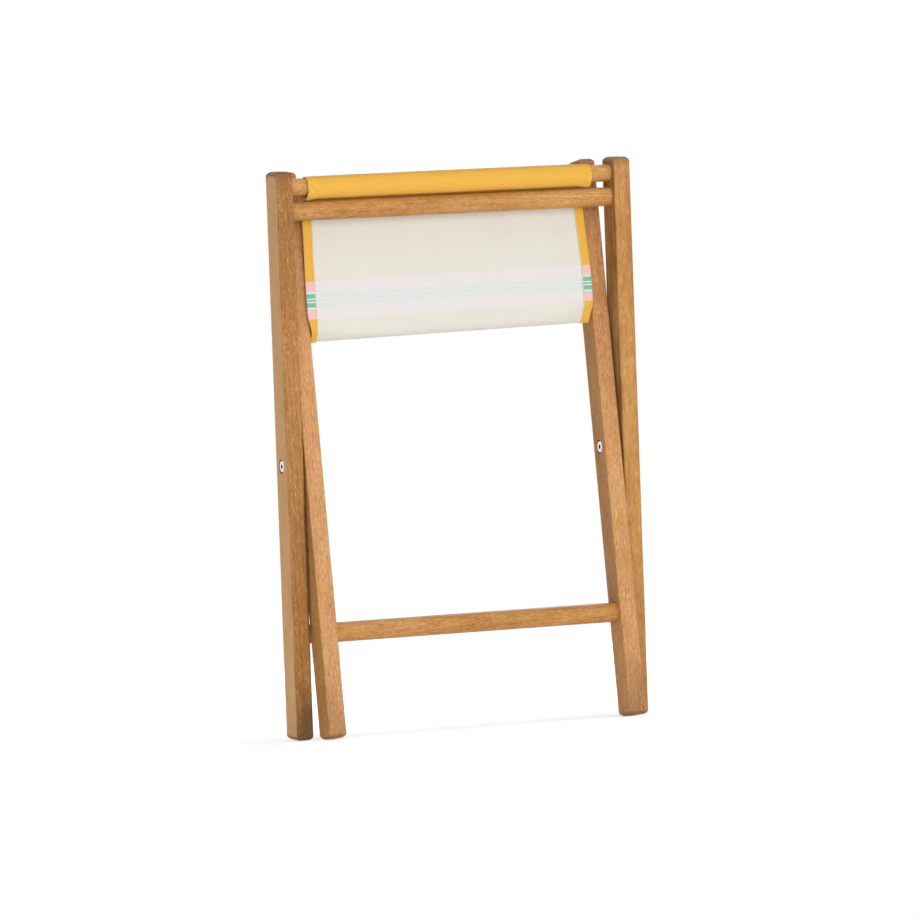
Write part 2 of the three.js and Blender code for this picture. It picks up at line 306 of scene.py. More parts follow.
@dataclass(frozen=True)
class OiledHardwood:
    """Oiled golden-brown hardwood with fine straight grain.

    Attributes:
        name: Name of the material.
        grain: Way of the fibres.
        lean: Lean of the leg about X, in radians.
        seed: Number that moves the pattern, so that no two pieces look alike.
        tone: Shift of the ramp, darker below 0 and lighter above.
        pith: Place of the tree's middle across the piece, which sets the run of the rings.
        figure: Strength of the rings.
        flecking: Strength of the pale flecks, partly wood figure and partly painted glints, and of the
            pores between them.
        blush: Share of a paler, pinker brown.
        greyness: Share of a cooler, duller brown.
        scuffing: Share of dirt at the leg's foot, with painted shade added on the side towards the stool's
            middle.
        fade: Further shift of the ramp at the foot and at the top of a leg; the darker top of the inner
            right leg is painted shade.
        side_wood: Bands along its sides: paler wood with painted light, and painted shade.
        top: Place of a leg's top end along it, below which the wood turns darker.
    """

    name: str
    grain: Grain
    lean: float
    seed: int
    tone: float = 0.0
    pith: Pair = (0.05, 0.07)
    figure: float = 0.08
    flecking: float = 0.15
    blush: float = 0.0
    greyness: float = 0.0
    scuffing: float = 0.0
    fade: Pair = (0.0, 0.0)
    side_wood: tuple[SideWood, ...] = ()
    top: float = 591 * MM

    TONES = (
        (0.0, srgb(120, 72, 30)),
        (0.28, srgb(169, 113, 55)),
        (0.52, srgb(201, 146, 83)),
        (0.78, srgb(221, 170, 108)),
        (1.0, srgb(236, 194, 138)),
    )
    DULL, PINK, YELLOW = srgb(150, 118, 80), srgb(226, 170, 128), srgb(255, 214, 150)
    FLECK, PORE, RUBBED = srgb(248, 214, 178), srgb(126, 76, 38), srgb(238, 200, 154)
    OILED_END, DIRT = srgb(88, 61, 42), srgb(84, 60, 42)
    RING = 3.6 * MM

    def build(self) -> bpy.types.Material:
        """Builds the material.

        Returns:
            The material.
        """
        graph = ShaderGraph(bpy.data.materials.new(self.name))
        here, normal = graph.coordinate("Object"), graph.coordinate("Normal")
        if self.grain is Grain.ALONG_LEG:
            x, y, along = graph.split(graph.mapping(here, rotation=(-self.lean, 0.0, 0.0)))
            facing = graph.split(graph.mapping(normal, rotation=(-self.lean, 0.0, 0.0)))
            end_face = abs(facing[2])
            flat_face = graph.math("MAXIMUM", abs(facing[0]), abs(facing[1]))
            arris = graph.math("MAXIMUM", flat_face, end_face).fall(0.78, 0.96)
            grained = abs(facing[1]).rise(0.5, 0.9)
        else:
            along, x, y = graph.split(here)
            end_face = abs(graph.split(normal)[0])
            arris, grained = 0.0, 1.0
        shift = 1.37 * self.seed

        def pattern(across: float, lengthwise: float, detail: float = 2.0, rough: float = 0.5) -> Signal:
            """Noise with this many features to a metre across the grain and along it."""
            spot = graph.join(x * across + shift, y * across - shift, along * lengthwise + 2 * shift)
            return graph.noise(spot, 1.0, detail, rough) - 0.5

        drift = pattern(16.0, 3.0)
        clouds = pattern(48.0, 17.0, 3.0, 0.6)
        streaks = pattern(240.0, 4.5, 3.0, 0.6)
        mottle = pattern(110.0, 70.0, 3.0, 0.6)
        fibres = pattern(1500.0, 70.0, 2.0, 0.6)
        flecks = pattern(760.0, 210.0, 2.0, 0.6)
        pores = (pattern(1300.0, 120.0, 1.0) + mottle * 0.25).rise(0.08, 0.24)
        from_pith_x = x + pattern(7.0, 1.6) * (26 * MM) + (along * 0.035 - self.pith[0])
        from_pith_y = y + pattern(45.0, 9.0) * (3.2 * MM) - self.pith[1]
        radius = (from_pith_x * from_pith_x + from_pith_y * from_pith_y) ** 0.5
        rings = ((radius * (2 * math.pi / self.RING)).sine() * 0.5 + 0.5) ** 1.7
        ringed = pattern(30.0, 4.0).rise(-0.12, 0.2)

        level = (
            0.5
            + self.tone
            + along.fall(0.0, 0.4) * self.fade[0]
            + along.rise(0.3, 0.55) * self.fade[1]
            + drift * 0.5
            + clouds * 0.34
            + streaks * (0.14 + self.figure)
            + mottle * 0.3
            + fibres * 0.42
            + flecks * (0.32 + 1.5 * self.flecking)
            - (rings - 0.4) * (ringed * self.figure * 1.2 + self.figure * 0.4)
        )
        wood = graph.mix(self.greyness, graph.ramp(level, self.TONES), self.DULL)
        if self.blush:
            wood = graph.mix(grained * self.blush, wood, self.PINK)
        # Side bands: paler wood with painted light, and painted shade on inner side faces.
        for side in self.side_wood:
            tint = graph.mix((streaks + clouds).rise(-0.25, 0.25) * 0.3, side.colour, self.YELLOW)
            share = x.rise(side.start, side.full) * along.fall(side.end - 70 * MM, side.end)
            wood = graph.mix(share * 0.85, wood, tint)
        # Pale flecks on the front and back faces: partly wood figure, partly painted glints.
        glints = (flecks + fibres * 0.6 + clouds * 0.5).rise(0.1, 0.3)
        wood = graph.mix(glints * grained * self.flecking, wood, self.FLECK)
        wood = graph.mix(pores * (0.16 + self.flecking * 0.6), wood, self.PORE)
        # Lighter rounded edges: partly wear, partly a painted highlight along the arrises.
        rubbed = arris * (0.5 + clouds * 2.4 + mottle * 1.5)
        wood = graph.mix(rubbed * 0.16, wood, self.RUBBED)
        wicked = (along + mottle * (14 * MM)).rise(self.top - 12 * MM, self.top + 1 * MM) * 0.42
        sealed = end_face.rise(0.2, 0.75) * (0.85 + mottle * 1.2) * 0.68
        wood = graph.mix(graph.math("MAXIMUM", sealed, wicked), wood, self.OILED_END)
        if self.scuffing:
            dirty = (along + (mottle + clouds) * (30 * MM)).fall(0.0, 80 * MM)
            # Painted shade: the darkening grows stronger on the side towards the stool's middle, where the
            # legs shade each other.
            inward = abs(x).fall(178 * MM, 201 * MM)
            soiled = dirty * (grained * (0.8 + inward * 1.2) + 0.2) * self.scuffing
            wood = graph.mix(graph.math("MINIMUM", soiled, 0.75), wood, self.DIRT)
        roughness = 0.46 + streaks * 0.3 + pores * 0.14 + mottle * 0.2
        relief = 0.5 + fibres * 0.5 + streaks * 0.2 - pores * 0.7
        sockets = {"Base Color": wood, "Roughness": roughness, "Specular IOR Level": 0.2}
        return graph.finish(sockets, relief, 0.2 * MM)


@dataclass(frozen=True)
class PlatedSteel:
    """Bright nickel-plated steel of the pivot bolts, with its hex socket painted dark as shade.

    Attributes:
        name: Name of the material.
        axis_height: Height of the bolts' axis.
        socket_radius: Radius inside which the socket lies.
        plate: Colour of the plating.
        smudge: Colour of its smudges.
        hollow: Colour of the socket, painted shade of its recess.
    """

    name: str
    axis_height: float
    socket_radius: float = 2.35 * MM
    plate: Colour = srgb(226, 225, 220)
    smudge: Colour = srgb(190, 188, 180)
    hollow: Colour = srgb(38, 42, 40)

    def build(self) -> bpy.types.Material:
        """Builds the material.

        Returns:
            The material.
        """
        graph = ShaderGraph(bpy.data.materials.new(self.name))
        here = graph.coordinate("Object")
        _, y, z = graph.split(here)
        height = z - self.axis_height
        radius = (y * y + height * height) ** 0.5
        socket = radius.fall(self.socket_radius - 0.1 * MM, self.socket_radius + 0.1 * MM)
        rubbing = graph.noise(graph.mapping(here, scale=(900.0, 900.0, 300.0)), 1.0, 3.0)
        smudges = graph.noise(here, 160.0)
        plating = graph.mix(smudges.rise(0.45, 0.75) * 0.25, self.plate, self.smudge)
        # Painted shade: the socket is coloured dark and dull for the shade inside its recess.
        colour = graph.mix(socket, plating, self.hollow)
        roughness = 0.24 + (rubbing - 0.5) * 0.16 + (smudges - 0.5) * 0.1 + socket * 0.3
        sockets = {"Base Color": colour, "Metallic": 1.0, "Roughness": roughness}
        return graph.finish(sockets, rubbing, 0.02 * MM)


class ClothSide(Enum):
    """Side of the canvas."""

    COLOURED = "coloured"
    UNDERSIDE = "plain"


@dataclass(frozen=True)
class StripeGroup:
    """Woven stripes across the seat, the same to both sides of the thin middle line.

    Attributes:
        centre: Place of the middle line, along the cloth from the seat's middle.
        line: Width of the middle line.
        white: Width of the plain ground between two stripes.
        green: Width of a green stripe.
        pink: Width of a pink stripe.
    """

    centre: float = 46 * MM
    line: float = 1.1 * MM
    white: float = 1.6 * MM
    green: float = 4.9 * MM
    pink: float = 10.8 * MM

    @property
    def green_middle(self) -> float:
        """Distance from the middle line to the middle of a green stripe."""
        return self.line / 2 + self.white + self.green / 2

    @property
    def pink_middle(self) -> float:
        """Distance from the middle line to the middle of a pink stripe."""
        return self.green_middle + self.green / 2 + self.white + self.pink / 2

    @property
    def width(self) -> float:
        """Width of the whole group."""
        return 2 * self.pink_middle + self.pink


@dataclass(frozen=True)
class Dyes:
    """Colours of one side of the canvas.

    Attributes:
        base: Colour of the seat.
        ground: Colour between the stripes.
        stripes: Colours of the pink and green stripes and of the thin middle line.
    """

    base: Colour
    ground: Colour
    stripes: tuple[Colour, Colour, Colour]


@dataclass(frozen=True)
class Canvas:
    """Woven cotton canvas. The UV map holds metres: U across the seat and V along it.

    Attributes:
        name: Name of the material.
        side: Side of the cloth.
        fold: Place of the folded edge of a hem, across the flat cloth.
        selvedge: Place of the flat cloth's edge.
        sleeve: Place along the cloth where the sleeve starts, which is puckered at its hems.
        puckered: Width of the puckers inside the folded edge.
        thread: Pitch of the weave.
        edge: Softness of the stripes' edges.
        stripes: The stripes.
    """

    name: str
    side: ClothSide
    fold: float
    selvedge: float
    sleeve: float
    puckered: float = 11.6 * MM
    thread: float = 0.55 * MM
    edge: float = 0.35 * MM
    stripes: StripeGroup = field(default_factory=StripeGroup)

    WORN, RAISED, HOLLOW = srgb(242, 228, 196), srgb(255, 220, 128), srgb(204, 140, 44)
    DYES = {
        ClothSide.COLOURED: Dyes(
            srgb(240, 184, 74),
            srgb(236, 238, 230),
            (srgb(243, 200, 192), srgb(118, 200, 168), srgb(104, 128, 108)),
        ),
        ClothSide.UNDERSIDE: Dyes(
            srgb(231, 227, 216),
            srgb(233, 231, 226),
            (srgb(235, 229, 227), srgb(226, 230, 227), srgb(220, 223, 220)),
        ),
    }

    def build(self) -> bpy.types.Material:
        """Builds the material.

        Returns:
            The material.
        """
        graph = ShaderGraph(bpy.data.materials.new(self.name))
        across, along, _ = graph.split(graph.node("ShaderNodeUVMap", settings={"uv_map": "cloth"}))

        def pattern(widthwise: float, lengthwise: float, layer: float) -> Signal:
            """Noise with this many features to a metre across the cloth and along it."""
            return graph.noise(graph.join(across * widthwise, along * lengthwise, layer)) - 0.5

        warp, weft = ((place * (2 * math.pi / self.thread)).sine() for place in (along, across))
        threads = 0.5 + pattern(60.0, 1500.0, 0.0) * 0.5 + pattern(1500.0, 60.0, 4.0) * 0.5
        threads = threads + pattern(26.0, 26.0, 9.0) * 0.25
        hem = self.fold - self.puckered
        sewn = abs(across).rise(hem, hem + 0.6 * MM)
        sewn = sewn * abs(along).rise(self.sleeve, self.sleeve + 4 * MM)
        puckers = pattern(330.0, 260.0, 2.0) * sewn

        stripes, dyes = self.stripes, self.DYES[self.side]
        offset = abs(abs(along) - stripes.centre)
        group, line = (
            offset.fall(width / 2 - softness, width / 2 + softness)
            for width, softness in ((stripes.width, self.edge), (stripes.line, self.edge / 2))
        )
        pink = offset.band(stripes.pink_middle, stripes.pink, self.edge)
        green = offset.band(stripes.green_middle, stripes.green, self.edge)
        colour = graph.mix(group, dyes.base, dyes.ground)
        for stripe, dye in zip((pink, green, line), dyes.stripes):
            colour = graph.mix(stripe, colour, dye)
        if self.side is ClothSide.COLOURED:
            rubbed = abs(across).band(self.fold, 1.1 * MM, 0.8 * MM)
            undyed = abs(across).rise(self.selvedge - 0.9 * MM, self.selvedge - 0.6 * MM)
            for share, tint in (
                (rubbed * 0.3, self.WORN),
                (undyed * 0.75, self.WORN),
                # Painted highlight on the raised puckers of the sleeve's hems, and painted shade in their
                # hollows.
                (puckers.rise(0.0, 0.2) * 0.4, self.RAISED),
                ((-1 * puckers).rise(0.0, 0.2) * 0.3, self.HOLLOW),
            ):
                colour = graph.mix(share, colour, tint)
        shade = graph.node("ShaderNodeMapRange", {"Value": threads, "To Min": 0.9, "To Max": 1.08})
        sockets = {
            "Base Color": graph.mix(1.0, colour, shade, "MULTIPLY"),
            "Roughness": 0.88,
            "Specular IOR Level": 0.25,
            "Sheen Weight": 0.12,
            "Sheen Roughness": 0.5,
        }
        weave = warp * weft * 0.5 + 0.5
        return graph.finish(sockets, weave * 0.6 + threads * 0.4 + puckers * 4, 0.14 * MM)


@dataclass(frozen=True)
class SewingThread:
    """Twisted cotton thread.

    Attributes:
        name: Name of the material.
        bright: Colour of the thread.
        shaded: Colour between its strands.
    """

    name: str
    bright: Colour = srgb(232, 176, 72)
    shaded: Colour = srgb(190, 130, 40)

    def build(self) -> bpy.types.Material:
        """Builds the material.

        Returns:
            The material.
        """
        graph = ShaderGraph(bpy.data.materials.new(self.name))
        twist = graph.noise(graph.coordinate("Object"), 2200.0, 1.0)
        colour = graph.mix(twist.rise(0.3, 0.7) * 0.3, self.bright, self.shaded)
        return graph.finish({"Base Color": colour, "Roughness": 0.75}, twist, 0.05 * MM)


# Sub-assemblies


@dataclass(frozen=True)
class StoolFrame:
    """Places that the pieces share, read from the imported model.

    Attributes:
        pivot: Point on the pivot axis in the stool's middle.
        front_rail: Point on the outer top rail's axis in the stool's middle.
        half_width: Half the width of the cloth.
        panel_y: Y of the middle of the front panel's cloth.
        loop_bottom: Height of the loop's lowest point.
    """

    pivot: Vector
    front_rail: Vector
    half_width: float
    panel_y: float
    loop_bottom: float

    @classmethod
    def read(cls, joints: Sequence[dict[str, Any]]) -> StoolFrame:
        """Reads the places.

        Args:
            joints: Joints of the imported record.

        Returns:
            The places.
        """
        places = {joint["name"]: Vector(joint["pos_m"]) for joint in joints}
        low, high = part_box("seat_panel_front")
        return cls(
            pivot=places["fold"],
            front_rail=places["seat_front_turn"],
            half_width=high.x,
            panel_y=low.y + 0.5 * MM,
            loop_bottom=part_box("seat_fold_front")[0].z,
        )

    @property
    def lean(self) -> float:
        """Lean of the outer frame, in radians."""
        reach = self.front_rail - self.pivot
        return math.atan2(-reach.y, reach.z)


@dataclass
class WoodFrames:
    """Legs and rails of both frames, which keep their solids and get their finish here.

    Attributes:
        nodes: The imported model's objects by name.
        frame: Shared places.
    """

    nodes: dict[str, bpy.types.Object]
    frame: StoolFrame

    def finishes(self) -> dict[str, OiledHardwood]:
        """Finish of each leg and rail.

        Returns:
            Finishes by node name.
        """
        low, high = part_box("outer_leg_left")
        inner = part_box("outer_leg_right")[0].x
        # Paler band on the outer left leg's outer side face: paler wood, and painted light on that face.
        sapwood = SideWood(low.x + 0.5 * MM, low.x, srgb(244, 186, 120))
        # Painted shade: a dark band along the outer left leg's inner side, below the pivot, for the shade
        # in the gap next to the inner leg.
        darkened = SideWood(high.x - 3.2 * MM, high.x - 1.2 * MM, srgb(84, 46, 14), 290 * MM)
        # Painted shade: the outer right leg's inner side face is coloured dark for the shade inside the
        # stool.
        heartwood = SideWood(inner + 2.5 * MM, inner, srgb(124, 74, 8))
        looks: dict[str, dict[str, Any]] = {
            "outer_leg_left": dict(
                tone=-0.2, pith=(-0.13, 0.06), figure=0.06, flecking=0.2, greyness=0.14,
                scuffing=0.6, fade=(0.05, 0.0), side_wood=(sapwood, darkened),
            ),
            "outer_leg_right": dict(
                tone=0.05, pith=(0.24, 0.07), figure=0.05, flecking=0.08,
                scuffing=0.15, fade=(0.0, -0.14), side_wood=(heartwood,),
            ),
            "inner_leg_left": dict(
                tone=0.05, pith=(-0.2, -0.05), figure=0.06, flecking=0.42, blush=0.35, scuffing=0.15
            ),
            # Its darker top stands for painted shade under the sleeve and the rails.
            "inner_leg_right": dict(
                tone=-0.05, pith=(0.12, -0.09), figure=0.05, flecking=0.32,
                blush=0.25, scuffing=0.2, fade=(0.0, -0.16),
            ),
            "outer_top_rail": dict(tone=0.06, pith=(0.06, 0.62)),
            "outer_second_rail": dict(pith=(0.05, 0.6)),
            "outer_bottom_rail": dict(pith=(0.05, 0.1)),
            "inner_top_rail": dict(tone=0.02, pith=(0.02, 0.6)),
            "inner_bottom_rail": dict(tone=-0.02, pith=(-0.05, 0.12)),
        }
        finishes = {}
        for seed, (name, look) in enumerate(looks.items(), start=1):
            grain = Grain.ALONG_RAIL if name.endswith("rail") else Grain.ALONG_LEG
            lean = self.frame.lean if name.startswith("outer") else -self.frame.lean
            finishes[name] = OiledHardwood(f"hardwood_{name}", grain, lean, seed, **look)
        return finishes

    def dress(self) -> None:
        """Gives each leg and rail its finish and smooth roundings."""
        for name, finish in self.finishes().items():
            dress_solid(self.nodes[name], finish.build())


@dataclass
class PivotBolts:
    """Screws, sleeve nuts and washers of the two pivots.

    Attributes:
        nodes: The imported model's objects by name.
        frame: Shared places.
    """

    nodes: dict[str, bpy.types.Object]
    frame: StoolFrame

    def dress(self) -> None:
        """Gives the bolts their plating."""
        plating = PlatedSteel("nickel_plated_steel", self.frame.pivot.z).build()
        for name, node in self.nodes.items():
            if name.startswith("pivot_"):
                dress_solid(node, plating)


def dress_solid(node: bpy.types.Object, material: bpy.types.Material) -> None:
    """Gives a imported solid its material, and shades its roundings smoothly.

    Args:
        node: Object of the solid.
        material: Its material.
    """
    mesh = node.data
    mesh.materials.clear()
    mesh.materials.append(material)
    for layer in ("custom_normal", "sharp_face"):
        if layer in mesh.attributes:
            mesh.attributes.remove(mesh.attributes[layer])
    weld = node.modifiers.new("weld", "WELD")
    weld.merge_threshold = 0.001 * MM
    split = node.modifiers.new("split", "EDGE_SPLIT")
    split.split_angle = math.radians(35)
    normals = node.modifiers.new("normals", "WEIGHTED_NORMAL")
    normals.weight = 100
    normals.keep_sharp = True
    LOGGER.info("%s dressed", node.name)


class SlingLine:
    """Line that the front half of the cloth follows in Y and Z, at one place across the stool.

    It runs up from the bottom of the loop behind the second rail, over the top rail, and back
    under it to the seam. Its right-hand side is the coloured side.
    """

    def __init__(self, points: np.ndarray, distances: np.ndarray) -> None:
        """Keeps the line.

        Args:
            points: Fine points of the line.
            distances: Distance of each point along the flat cloth, from the seat's middle.
        """
        self.points = points
        self.distances = distances
        tangents = np.gradient(points, distances, axis=0)
        tangents /= np.linalg.norm(tangents, axis=1)[:, None]
        self.normals = np.stack([tangents[:, 1], -tangents[:, 0]], axis=1)

    def at(self, distance: float) -> tuple[np.ndarray, np.ndarray]:
        """Point and normal at a distance along the cloth.

        Args:
            distance: Distance from the seat's middle.

        Returns:
            The point, and the unit normal on the coloured side.
        """
        place, normal = (
            np.array([np.interp(distance, self.distances, values[:, axis]) for axis in (0, 1)])
            for values in (self.points, self.normals)
        )
        return place, normal / np.linalg.norm(normal)


def path_lengths(points: np.ndarray) -> np.ndarray:
    """Lengths of a line up to each of its points, from 0."""
    return np.concatenate(([0.0], np.cumsum(np.linalg.norm(np.diff(points, axis=0), axis=1))))


def ease(value: float, places: Sequence[float], values: Sequence[float]) -> float:
    """Smooth course through values, level at each of them.

    Args:
        value: Where to read it.
        places: Rising places of the values.
        values: The values there.

    Returns:
        The value between them.
    """
    numbers = np.arange(len(places))
    step = float(np.interp(value, places, numbers))
    share = step % 1
    return float(np.interp(step - share + share * share * (3 - 2 * share), numbers, values))


def smooth_line(points: Sequence[Pair], samples: int) -> np.ndarray:
    """Smooth line through points, the first and last of which only set its direction.

    Args:
        points: Points in order, with a guide point at each end.
        samples: Fine points for each stretch.

    Returns:
        Fine points, from the second point up to and without the last but one.
    """
    knots = np.array(points)
    shares = np.linspace(0.0, 1.0, samples, endpoint=False)[:, None]
    stretches = []
    for before, start, end, after in zip(knots, knots[1:], knots[2:], knots[3:]):
        line = 2 * start + (end - before) * shares
        line = line + (2 * before - 5 * start + 4 * end - after) * shares**2
        line = line + (3 * start - before - 3 * end + after) * shares**3
        stretches.append(0.5 * line)
    return np.concatenate(stretches)


class SeatHalf(Enum):
    """Half of the seat, with its end of the sling."""

    FRONT = "front"
    BACK = "back"

    @property
    def turned(self) -> bool:
        """True for the half that is the other one turned about the vertical."""
        return self is SeatHalf.BACK


@dataclass
class SlingHalf:
    """One half of the canvas seat: sleeve, panel, its share of the fold, side hems and stitches.

    Attributes:
        frame: Shared places.
        half: Which half.
        thickness: Thickness of the canvas.
        hem_width: Width of the turned side hems.
        fold_radius: Radius of the middle of the cloth where a hem is turned.
        sleeve_radius: Radius of the middle of the cloth round the rail.
        sleeve_sag: Distance that the sleeve hangs below the rail's centre.
        sleeve_span: Angles round the rail, from the back, at which the sleeve starts and ends.
        hem_bulge: Distance that the hems raise the ends of the sleeve.
        bend_height: Height over which the loop turns to its bottom, at the stool's left side, in
            its middle and at its right side.
        squareness: Exponent of the superellipse of the loop's bottom, at the same three places: 1
            is a straight-sided crease, and 2 is round.
        side_reach: Width at each side over which the shape of the bottom changes.
        lift: Height of the loop's bottom above its level at the left and at the right side.
        spare_height: Length of cloth over which a stretch of the bottom is taken up.
        hung_shift: Shift of the front half to the right at the bottom, above the seam and at the rail.
        hung_width: Half its width at these three places.
        hung_at: Distances of the first from the seat's middle and of the second from the rail.
        join_reach: Length over which the back half comes in line with the front half's bottom.
        tuck_spread: Distance that half the tucked width is more than half the straight one.
        squeeze: Width over which the cloth gives way to the inner legs.
        tuck_span: Places along the cloth where it leaves the inner legs and where it is free.
        right_draw: Distance that the loop's bottom is drawn in at the right side.
        draw_reach: Distances from the right edge where that draw is full and where it starts.
        draw_height: Place along the cloth where it ends.
        seam_drop: Distance from the rail's axis down to the seam.
        flap: Length of the cloth that is sewn to the panel at the seam.
        stitch: Length of a stitch.
        stitch_gap: Gap between two stitches.
        stitch_inset: Distance of a hem's stitches from the edge of its turned layer.
        thread_radius: Radius of the thread.
        bend_start: Place where the panel starts to turn, out from the panel and up from the bottom. Not
            used.
        bend_end: Place where it is the bottom, out from the seat's middle and up from the bottom. Not
            used.
        columns: Columns of half the grid over the body, a fold and a hem.
        rows: Rows of the grid over the bend, the panel, the sleeve and the flap.
    """

    frame: StoolFrame
    half: SeatHalf
    thickness: float = 0.7 * MM
    hem_width: float = 9.6 * MM
    fold_radius: float = 0.5 * MM
    sleeve_radius: float = 11.5 * MM
    sleeve_sag: float = 1 * MM
    sleeve_span: Pair = (math.radians(5.0), math.radians(302.0))
    hem_bulge: float = 1 * MM
    bend_height: Triple = (11 * MM, 12 * MM, 21 * MM)
    squareness: Triple = (1.15, 2.1, 1.12)
    side_reach: float = 60 * MM
    lift: Pair = (-2.0 * MM, 2.9 * MM)
    spare_height: float = 38 * MM
    hung_shift: Triple = (-2.1 * MM, -3.5 * MM, -2.8 * MM)
    hung_width: Triple = (161.7 * MM, 159.0 * MM, 160.2 * MM)
    hung_at: Pair = (50 * MM, 22 * MM)
    join_reach: float = 20 * MM
    tuck_spread: float = 0.5 * MM
    squeeze: float = 6 * MM
    tuck_span: Pair = (10.5 * MM, 30 * MM)
    right_draw: float = 3 * MM
    draw_reach: Pair = (12 * MM, 45 * MM)
    draw_height: float = 22.5 * MM
    seam_drop: float = 14 * MM
    flap: float = 6 * MM
    stitch: float = 2.6 * MM
    stitch_gap: float = 0.7 * MM
    stitch_inset: float = 1.8 * MM
    thread_radius: float = 0.22 * MM
    bend_start: Pair = (1 * MM, 8 * MM)
    bend_end: Pair = (2 * MM, 3 * MM)
    columns: tuple[int, int, int] = (42, 6, 4)
    rows: tuple[int, int, int, int] = (30, 54, 72, 20)

    def __post_init__(self) -> None:
        """Works out the line of the cloth in the stool's middle, and its stretches."""
        self.lines: dict[float, SlingLine] = {}
        points, ends = self._outline(self.bend_height[1], self.squareness[1])
        self.distances = path_lengths(points)
        names = ("bend", "hang", "sleeve", "flap")
        self.marks = {name: float(self.distances[end]) for name, end in zip(names, ends)}
        self.middle = SlingLine(points, self.distances)

    def _outline(self, bend_height: float, squareness: float) -> tuple[np.ndarray, list[int]]:
        """Line of the front half, from the middle of the seat to the seam.

        Args:
            bend_height: Height over which the loop turns to its bottom.
            squareness: Exponent of the superellipse that the bottom follows.

        Returns:
            Fine points, and the numbers of the points where the bend, the hanging panel, the
            sleeve and the sewn flap end.
        """
        rail = np.array([self.frame.front_rail.y, self.frame.front_rail.z])
        panel_y = self.frame.panel_y
        turn = np.linspace(0.0, math.pi / 2, 48, endpoint=False)
        inward, upward = np.sin(turn) ** (2 / squareness), 1 - np.cos(turn) ** (2 / squareness)
        bend = np.stack([panel_y * inward, self.bottom + bend_height * upward], axis=1)
        bend_top = self.bottom + bend_height
        angles = np.linspace(*self.sleeve_span, 91)
        circle = self.sleeve_radius * np.stack([np.cos(angles), np.sin(angles)], axis=1)
        circle += rail - np.array([0.0, self.sleeve_sag])
        sleeve, first, last = circle[:-1], circle[0], circle[-1]
        hang = smooth_line(
            (
                (panel_y, bend_top - 20 * MM),
                (panel_y, bend_top),
                (panel_y - 0.4 * MM, bend_top + 15 * MM),
                (panel_y + 1.0 * MM, rail[1] - 82 * MM),
                (panel_y + 1.6 * MM, rail[1] - 44 * MM),
                (panel_y + 1.0 * MM, rail[1] - 25 * MM),
                (first[0] + 1.0 * MM, rail[1] - self.seam_drop),
                tuple(first),
                (first[0] - 1.0 * MM, first[1] + 12 * MM),
            ),
            14,
        )
        closing = smooth_line(
            (
                (last[0] - 4.0 * MM, last[1] - 0.6 * MM),
                tuple(last),
                (first[0] - 1.0 * MM, rail[1] - self.seam_drop + 2.2 * MM),
                (first[0] - 0.1 * MM, rail[1] - self.seam_drop - self.flap / 2),
                (first[0] + 0.4 * MM, rail[1] - self.seam_drop - self.flap),
            ),
            10,
        )
        stretches = (bend, hang, sleeve, closing)
        ends = np.cumsum([len(stretch) for stretch in stretches]) - 1
        return np.concatenate(stretches), ends.tolist()

    def line_at(self, across: float) -> SlingLine:
        """Line of the cloth at one place across the stool.

        The cloth keeps its length above the bottom, and the lift draws the whole panel up.

        Args:
            across: X of the place, seen with this half at the front.

        Returns:
            The line.
        """
        if across not in self.lines:
            x = -across if self.half.turned else across
            edge = self.frame.half_width
            sides = (-edge, self.side_reach - edge, edge - self.side_reach, edge)
            height, squareness = (
                ease(x, sides, (left, middle, middle, right))
                for left, middle, right in (self.bend_height, self.squareness)
            )
            outline, _ = self._outline(height, squareness)
            lengths = path_lengths(outline)
            spare = lengths[-1] - self.distances[-1]
            reach = self.distances + spare * np.minimum(1.0, self.distances / self.spare_height)
            points = np.stack([np.interp(reach, lengths, outline[:, axis]) for axis in (0, 1)], axis=1)
            seam, bottom = self.frame.front_rail.z - self.seam_drop, self.frame.loop_bottom
            hanging = np.clip((seam - points[:, 1]) / (seam - bottom), 0.0, 1.0)
            hanging[self.distances > self.marks["hang"]] = 0.0
            points[:, 1] += hanging * np.interp(x, (-edge, edge), self.lift)
            self.lines[across] = SlingLine(points, self.distances)
        return self.lines[across]

    @property
    def bottom(self) -> float:
        """Height of the cloth's middle at the loop's lowest point."""
        return self.frame.loop_bottom + self.thickness

    @property
    def straight(self) -> float:
        """Half the width of the cloth between the folds of its hems."""
        return self.frame.half_width - self.thickness / 2 - self.fold_radius

    @property
    def turned_width(self) -> float:
        """Width of the cloth in the fold of a hem."""
        return math.pi * self.fold_radius

    @property
    def flat_length(self) -> float:
        """Length of the cloth from the seat's middle to the end of the flap."""
        return float(self.distances[-1])

    @property
    def flat_width(self) -> float:
        """Width of the cloth with its hems laid flat."""
        return 2 * (self.straight + self.turned_width + self.hem_width)

    def across(self, place: float) -> Pair:
        """Folds the width of the cloth over at its hems.

        Args:
            place: Distance from the middle line of the flat cloth.

        Returns:
            X, and the offset on the coloured side from the cloth's main layer.
        """
        side = math.copysign(1.0, place)
        past = abs(place) - self.straight
        if past <= 0:
            return place, 0.0
        angle = past / self.fold_radius
        if angle < math.pi:
            out = self.straight + self.fold_radius * math.sin(angle)
            return side * out, -self.fold_radius * (1 - math.cos(angle))
        return side * (self.straight - (past - self.turned_width)), -2 * self.fold_radius

    def hang_aside(self, x: float, distance: float) -> float:
        """Moves a place sideways to where it really hangs.

        The front half sits a little to the left and is drawn in at its seam. The bottom of the
        loop and the whole back half are tucked in between the inner legs.

        Args:
            x: Place across the straight seat.
            distance: Distance from the seat's middle.

        Returns:
            X of the place, seen with this half at the front.
        """
        if self.half.turned:
            own = x * (1 + self.tuck_spread / self.frame.half_width)
            joined = -self.hang_in_front(-x, 0.0)
            return own + ease(distance, (0.0, self.join_reach), (1.0, 0.0)) * (joined - own)
        return self.hang_in_front(x, distance)

